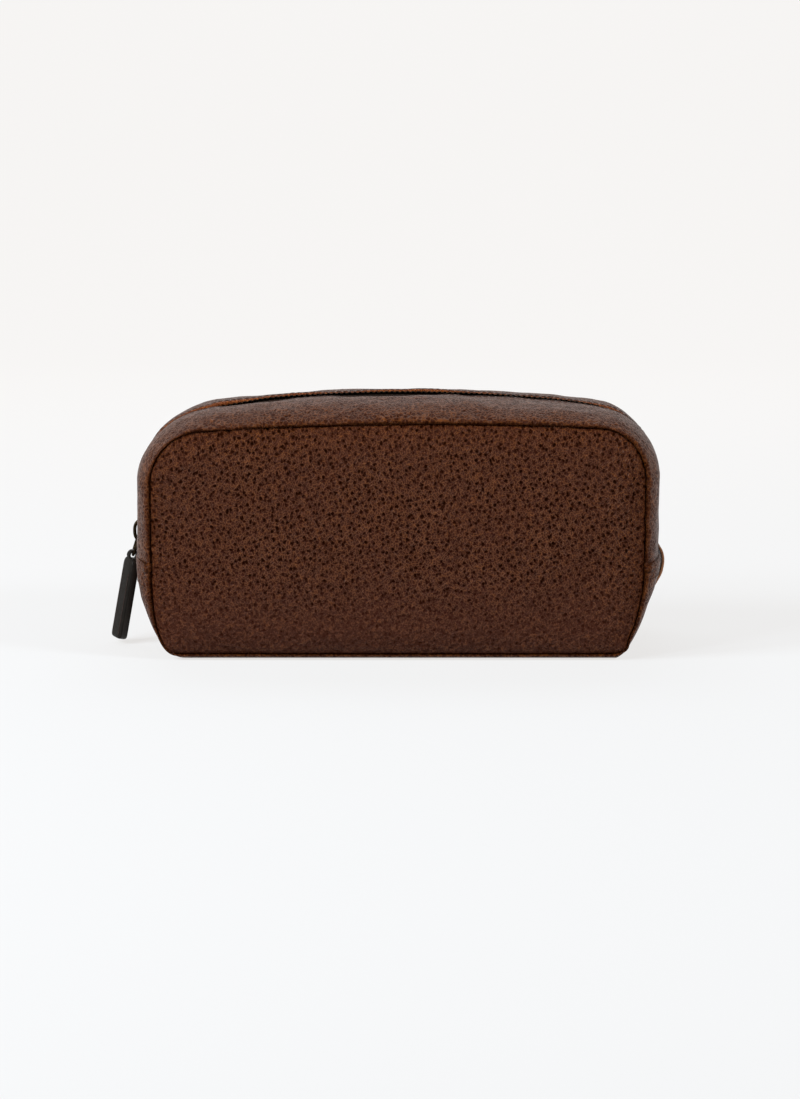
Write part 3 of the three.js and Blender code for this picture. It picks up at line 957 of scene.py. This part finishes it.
class BAG_OT_slider(Operator):
    """The slider, with plates, flanges and a wedge round the teeth and a bridge over them, and its ring"""

    bl_idname = "bag.slider"
    bl_label = "Slider and ring"

    def execute(self, context):
        bm = bmesh.new()
        plan = ((-7.0, 3.0), (-6.9, 3.6), (-6.4, 4.3), (-5.2, 4.8), (-3.5, 5.05), (-1.5, 5.0), (1, 4.7),
                (4, 4.15), (6.2, 3.75), (6.8, 3.4), (7.0, 2.9))  # half its width at places along it
        for z in (-1.9, 1.9):
            bar(bm, [(x, w, 0.22 if abs(x) > 6.8 else 0.4) for x, w in plan], 5, z, 32)
        bar(bm, [(-6.6, 0.5, 1.9), (-4.4, 1.1, 1.9), (-2.6, 0.25, 1.9)], 6, 0)
        wide, high = Vector((0, 0.4, 0)), Vector((0, 0, 0.45))
        for y in (-3.9, 3.9):
            for z in (-1.2, 1.2):
                sweep(bm, [(Vector((x, y, z)), wide, high) for x in (-5.8, 6.2)], rounded(5))
        arch = []
        for k in range(25):
            a = pi * k / 24
            side, up = cos(a), sin(a)
            at = Vector((copysign(5.15 * abs(side) ** 0.8, side), 0, 1.9 + 4.15 * up ** 0.8))
            arch.append((at, Vector((0, 1.05, 0)), Vector((side, 0, up)).normalized() * 0.82))
        sweep(bm, arch, rounded(2.3, 16))
        chain = Vector(((CHAIN_DEPTH - MIDDLE["half"]) * MM, 0, slider_height()))
        place = Matrix.Translation(chain) @ Matrix.Rotation(-pi / 2, 4, "Y")
        bmesh.ops.transform(bm, matrix=place, verts=bm.verts[:])
        finished("zip_slider", bm, ["patinated_brass"], "slider", ("slider_body",))
        ring = from_node("pull_ring", "slider_ring", 0.05, ["patinated_brass"], "pull_ring")
        rounding = ring.modifiers.new("Rounding", "SUBSURF")
        rounding.levels = rounding.render_levels = 1
        return {"FINISHED"}


LEAN = Matrix.Rotation(radians(2.6), 4, "Y")  # how far the pull hangs askew on its ring


def pull_frame():
    """The pull's axes, X across its width, Y out of its face and Z up along it, and where its hole is."""
    swing = next(j for j in frame["joints"] if j["name"] == "tab_swing")
    hole = Vector(swing["pos_m"])
    across = Vector(swing["axis"]).normalized()
    corners = [v.co for v in frame["nodes"]["pull_tab"].data.vertices]
    far = sorted(corners, key=lambda c: (c - hole).length)[-24:]  # the pull's rounded end
    end = sum(far, Vector()) / len(far)
    up = hole - end
    up = (up - across * up.dot(across)).normalized()
    out = across.cross(up).normalized()
    return Matrix((across, out, up)).transposed().to_4x4(), hole


class BAG_OT_pull(Operator):
    """The pull: a tongue of black leather with an eye round the ring, stitched on both faces"""

    bl_idname = "bag.pull"
    bl_label = "Leather pull"

    def execute(self, context):
        turn, hole = pull_frame()
        out = turn.to_3x3() @ Vector((0, 1, 0))
        bm = bmesh.new()
        half, thick, top, end = 6.1, 2.3, -1.3, -41.0
        stations = []
        for k in range(61):
            z = top + (end - top) * (1 - cos(pi * k / 60)) / 2
            shoulder, foot = min(1.0, (top - z) / 3.4), min(1.0, (z - end) / 2.6)
            width = 1.7 + (half - 1.7) * sqrt(1 - (1 - shoulder) ** 2)
            width -= 2.6 * (1 - sqrt(1 - (1 - foot) ** 2))
            depth = thick * sqrt(1 - (1 - min(1.0, 0.25 + (z - end) / 1.2)) ** 2)
            stations.append((Vector((0, 0, z)), Vector((width, 0, 0)), Vector((0, depth, 0))))
        sweep(bm, stations, rounded(4.6, 40))
        eye = []
        for k in range(28):
            outward = Vector((0, cos(2 * pi * k / 28), sin(2 * pi * k / 28)))
            eye.append((outward * 2.2, Vector((1.7, 0, 0)), outward * 0.56))
        sweep(bm, eye, rounded(4, 16), closed=True)
        hung = Matrix.Translation(hole) @ LEAN @ turn
        bmesh.ops.transform(bm, matrix=hung, verts=bm.verts[:])
        leathers = ["black_bridle_leather", "burnished_edge"]
        piece = finished("pull_leather", bm, leathers, "pull_tab", ("pull_tab",))
        for polygon in piece.data.polygons:
            polygon.material_index = 1 if abs(polygon.normal.dot(out)) < 0.3 else 0
        bm = bmesh.new()
        along = hung.to_3x3() @ Vector((0, 0, 1))
        for face_side in (-1, 1):
            for k in range(42):
                loop = 2 * (k / 42)  # down one side of the pull and up the other
                x, share_down = (3.9, loop) if loop < 1 else (-3.9, 2 - loop)
                at = hung @ (Vector((x, face_side * 2.24, -8.5 - 30 * share_down)) * MM)
                add_stitch(bm, at, along, out * face_side, 1.5, 0.5)
        finished("pull_stitching", bm, ["nylon_thread"], "pull_tab")
        return {"FINISHED"}


# -------- end loop and stitching


def add_stitch(bm, at, along, out, stitch_length, thickness):
    """One stitch: a short, plump strand that dips at both ends."""
    made = bmesh.ops.create_uvsphere(bm, u_segments=6, v_segments=5, radius=0.5)["verts"]
    sideways = out.cross(along).normalized()
    turn = Matrix((sideways, out.normalized(), along.normalized())).transposed()
    size = Vector((thickness, thickness * 0.8, stitch_length)) * MM
    for v in made:
        v.co = turn @ Vector((v.co.x * size.x, v.co.y * size.y, v.co.z * size.z)) + at


class BAG_OT_end_loop(Operator):
    """The strap over the zip's end: it bows out between its top and its foot"""

    bl_idname = "bag.end_loop"
    bl_label = "End loop"

    def execute(self, context):
        low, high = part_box("end_loop")
        height, middle, half = (high.z - low.z) / MM, (low.y + high.y) / 2 / MM, (high.y - low.y) / 2 / MM
        rows, columns = 30, 15
        gusset = Gusset(lower, base_swell)

        def wall(z):
            """The x of the base strip at a height, in millimetres."""
            if z >= HEM:
                return MIDDLE["half"]
            points = gusset.middle[-(LOWER_STEPS[0] + 1):]
            for a, b in zip(points, points[1:]):
                if a[1] <= z <= b[1]:
                    return a[0] + (b[0] - a[0]) * (z - a[1]) / (b[1] - a[1])
            return points[0][0]

        def place(i, j):
            share_down = i / (rows - 1)
            z = high.z / MM - height * share_down
            across = 2 * j / (columns - 1) - 1
            stand = 2.6 * sin(pi * min(1, share_down * 1.02)) ** 0.8
            x = wall(z) + 1.9 + HEM_LIFT + stand + 0.25 * noise.noise(Vector((z * 0.3, across, 7)))
            return Vector((x, middle + half * across * (1 - 0.03 * sin(pi * share_down)), z)) * MM

        bm = grid_sheet(rows, columns, place)
        finished("end_loop_strap", face_out(bm, facing(1, 0)), ["smooth_cowhide", "raw_hide_edge"],
                 "bag", ("end_loop",), thickness=1.3 * MM)
        return {"FINISHED"}


class BAG_OT_stitching(Operator):
    """Rows of stitches beside the zip and along both hems"""

    bl_idname = "bag.stitching"
    bl_label = "Stitching"

    def execute(self, context):
        pitch = sizes().stitch / MM
        gusset = Gusset(upper, swell)
        for side, end, body in SIDES:
            y = ZIP_EDGE + 1.6
            line = []
            for i in range(len(gusset)):
                dip = zip_dip(gusset.middle[i][0], side) * (1 - smoothstep(7, 17, y))
                line.append((gusset.at(i, side * y, dip - 0.1, 2.0 + side) / MM, gusset.inward[i]))
            bm = bmesh.new()
            for point, along, inward in walk(line, pitch, 2.5, 2.5):
                add_stitch(bm, point * MM, along, -inward, pitch * 0.78, 0.62)
            finished(f"{end}_zip_stitching", bm, ["nylon_thread"], body)
        base = Gusset(lower, base_swell)
        bm = bmesh.new()
        from_end = 5
        for row in (from_end, len(base) - 1 - from_end):
            line = []
            for k in range(81):
                y = 44 * (2 * k / 80 - 1)
                lift = HEM_LIFT * (1 - smoothstep(0, 16, from_end)) * smoothstep(46, 40, abs(y))
                line.append((base.at(row, y, -lift - 0.1, 3.0) / MM, base.inward[row]))
            for point, along, inward in walk(line, pitch, 1.5, 1.5):
                if row == from_end or abs(point.y) > 9.5:  # none under the end loop
                    add_stitch(bm, point * MM, along, -inward, pitch * 0.78, 0.6)
        finished("hem_stitching", bm, ["nylon_thread"], "bag")
        return {"FINISHED"}


# -------- stage


class BAG_OT_stage(Operator):
    """Pale floor that sweeps up behind, soft studio lights and the camera"""

    bl_idname = "bag.stage"
    bl_label = "Stage"

    def execute(self, context):
        scene = context.scene
        scene.view_settings.view_transform = "Standard"
        bm = bmesh.new()
        profile = [(-3.0, 0.0), (1.6, 0.0)]
        profile += [(1.6 + 0.8 * sin(a * pi / 24), 0.8 - 0.8 * cos(a * pi / 24)) for a in range(1, 13)]
        profile.append((2.4, 4.0))
        line = [bm.verts.new((-4, y, z)) for y, z in profile]
        edges = [bm.edges.new(pair) for pair in zip(line, line[1:])]
        made = bmesh.ops.extrude_edge_only(bm, edges=edges)["geom"]
        bmesh.ops.translate(bm, verts=[g for g in made if isinstance(g, bmesh.types.BMVert)], vec=(8, 0, 0))
        bmesh.ops.recalc_face_normals(bm, faces=bm.faces[:])
        finished("floor", bm, ["seamless_paper"])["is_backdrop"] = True

        def placed(name, data, place, aim):
            """Adds a lamp or a camera, turned towards its aim."""
            item = bpy.data.objects.new(name, data)
            scene.collection.objects.link(item)
            item.location = place
            item.rotation_euler = (Vector(aim) - Vector(place)).to_track_quat("-Z", "Y").to_euler()
            return item

        def softbox(name, place, aim, size, power):
            light = bpy.data.lights.new(name, "AREA")
            light.shape = "RECTANGLE"
            light.size, light.size_y = size
            light.energy = power
            placed(name, light, place, aim)

        softbox("overhead", (-0.1, 0.75, 1.2), (0, 0, 0.06), (1.2, 0.6), 8)
        softbox("key", (-1.05, -0.48, 0.85), (0, 0, 0.07), (0.5, 0.6), 25)
        softbox("sparkle", (-0.8, -0.95, 0.8), (-0.05, 0, 0.07), (0.25, 0.3), 10)
        softbox("fill", (1.05, -0.62, 0.75), (0, 0, 0.07), (0.35, 0.35), 18)
        world = bpy.data.worlds.new("studio")
        world.use_nodes = True
        background = world.node_tree.nodes["Background"]
        background.inputs["Color"].default_value = (1, 1, 1, 1)
        background.inputs["Strength"].default_value = 0.1
        scene.world = world

        aim = Vector((1.0, 0, 45.2)) * MM
        elevation, distance = radians(8.75), 1.3
        stand = aim + distance * Vector((0, -cos(elevation), sin(elevation)))
        camera = bpy.data.cameras.new("camera")
        camera.lens = 87.9
        scene.camera = placed("camera", camera, stand, aim)
        return {"FINISHED"}


# -------- the add-on


class BAG_PT_sidebar(Panel):
    """Lists the pieces of the bag in the order in which they are made"""

    bl_idname = "BAG_PT_sidebar"
    bl_label = "Shaving kit bag"
    bl_space_type = "VIEW_3D"
    bl_region_type = "UI"
    bl_category = "Shaving kit"

    def draw(self, context):
        for group in (context.scene.bag_sizes, context.scene.bag_colours):
            for name in group.__annotations__:
                self.layout.prop(group, name)
        for operator in OPERATORS:
            self.layout.operator(operator.bl_idname)


OPERATORS = (BAG_OT_panels, BAG_OT_zip_strips, BAG_OT_base, BAG_OT_zip, BAG_OT_slider, BAG_OT_pull,
             BAG_OT_end_loop, BAG_OT_stitching, BAG_OT_stage)
CLASSES = (BagSizes, BagColours, *OPERATORS, BAG_PT_sidebar)


def register():
    for item in CLASSES:
        bpy.utils.register_class(item)
    bpy.types.Scene.bag_sizes = PointerProperty(type=BagSizes)
    bpy.types.Scene.bag_colours = PointerProperty(type=BagColours)


def unregister():
    del bpy.types.Scene.bag_sizes
    del bpy.types.Scene.bag_colours
    for item in reversed(CLASSES):
        bpy.utils.unregister_class(item)


def main():
    register()
    bpy.ops.bag.panels()
    bpy.ops.bag.zip_strips()
    bpy.ops.bag.base()
    bpy.ops.bag.zip()
    bpy.ops.bag.slider()
    bpy.ops.bag.pull()
    bpy.ops.bag.end_loop()
    bpy.ops.bag.stitching()
    bpy.ops.bag.stage()
    plain = lambda box: [list(corner) for corner in box]
    {"cad": plain(cad_box), "visual": plain(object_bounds())}


if __name__ == "__main__":
    main()
